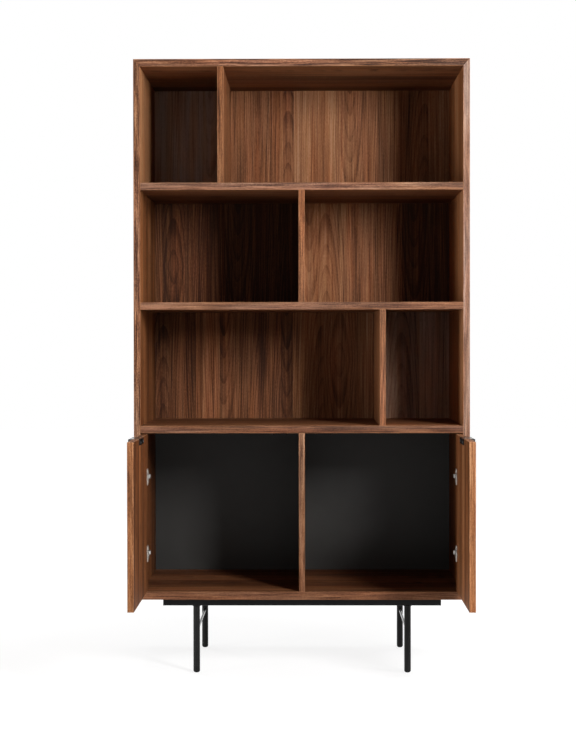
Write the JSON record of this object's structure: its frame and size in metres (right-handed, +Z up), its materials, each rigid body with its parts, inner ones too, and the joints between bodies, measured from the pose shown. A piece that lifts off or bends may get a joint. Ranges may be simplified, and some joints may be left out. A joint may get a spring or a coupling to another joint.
{
  "type": "bookcase with cabinet doors",
  "caption": "Tall walnut bookcase with open divided rows above a cabinet with inset hinged doors, on a low black steel base with round legs.",
  "frame": {"origin": "on the floor, under the middle of the case", "axes": "+X to the right of someone facing the front, +Y towards the back, +Z up"},
  "size_m": [0.9, 0.9035, 1.65],
  "materials": {
    "walnut": "satin",
    "black_laminate": "matte",
    "black_steel": "matte powder coat",
    "black_plastic": "matte",
    "beech": "raw",
    "black_screws": "black oxide",
    "bright_steel": "nickel plated"
  },
  "bodies": {
    "case": {"back_screws": "black_screws", "base_screws": "black_screws", "bottom_panel": "walnut", "cabinet_back_panel": "black_laminate", "cabinet_divider": "walnut", "corner_splines": "beech", "divider_dowels": "beech", "door_stop_left": "black_plastic", "door_stop_right": "black_plastic", "foot_glides": "black_plastic", "front_rail": "black_steel", "hinge_arm_lower_left": "bright_steel", "hinge_arm_lower_right": "bright_steel", "hinge_arm_screws": "bright_steel", "hinge_arm_upper_left": "bright_steel", "hinge_arm_upper_right": "bright_steel", "hinge_plate_lower_left": "bright_steel", "hinge_plate_lower_right": "bright_steel", "hinge_plate_screws": "bright_steel", "hinge_plate_upper_left": "bright_steel", "hinge_plate_upper_right": "bright_steel", "left_cross_rail": "black_steel", "leg_front_left": "black_steel", "leg_front_right": "black_steel", "leg_rear_left": "black_steel", "leg_rear_right": "black_steel", "lower_divider": "walnut", "lower_shelf": "walnut", "middle_divider": "walnut", "middle_shelf": "walnut", "rail_end_caps": "black_plastic", "rear_rail": "black_steel", "right_cross_rail": "black_steel", "shelf_dowels": "beech", "side_panel_left": "walnut", "side_panel_right": "walnut", "stretcher_left": "black_steel", "stretcher_right": "black_steel", "top_panel": "walnut", "upper_back_panel": "walnut", "upper_divider": "walnut", "upper_shelf": "walnut"},
    "left_door": {"cup_screws_left": "bright_steel", "door_left": "walnut", "door_pull_left": "black_steel", "hinge_cup_lower_left": "bright_steel", "hinge_cup_upper_left": "bright_steel", "hinge_pin_lower_left": "bright_steel", "hinge_pin_upper_left": "bright_steel", "pull_screws_left": "black_screws"},
    "right_door": {"cup_screws_right": "bright_steel", "door_pull_right": "black_steel", "door_right": "walnut", "hinge_cup_lower_right": "bright_steel", "hinge_cup_upper_right": "bright_steel", "hinge_pin_lower_right": "bright_steel", "hinge_pin_upper_right": "bright_steel", "pull_screws_right": "black_screws"}
  },
  "joints": [
    {"name": "left_door_hinge", "type": "hinge", "parent": "case", "child": "left_door", "pos_m": [-0.42153, -0.242, 0.4365], "axis": [0, 0, 1], "range_deg": [-5, 90]},
    {"name": "right_door_hinge", "type": "hinge", "parent": "case", "child": "right_door", "pos_m": [0.42153, -0.242, 0.4365], "axis": [0, 0, -1], "range_deg": [-5, 90]}
  ]
}
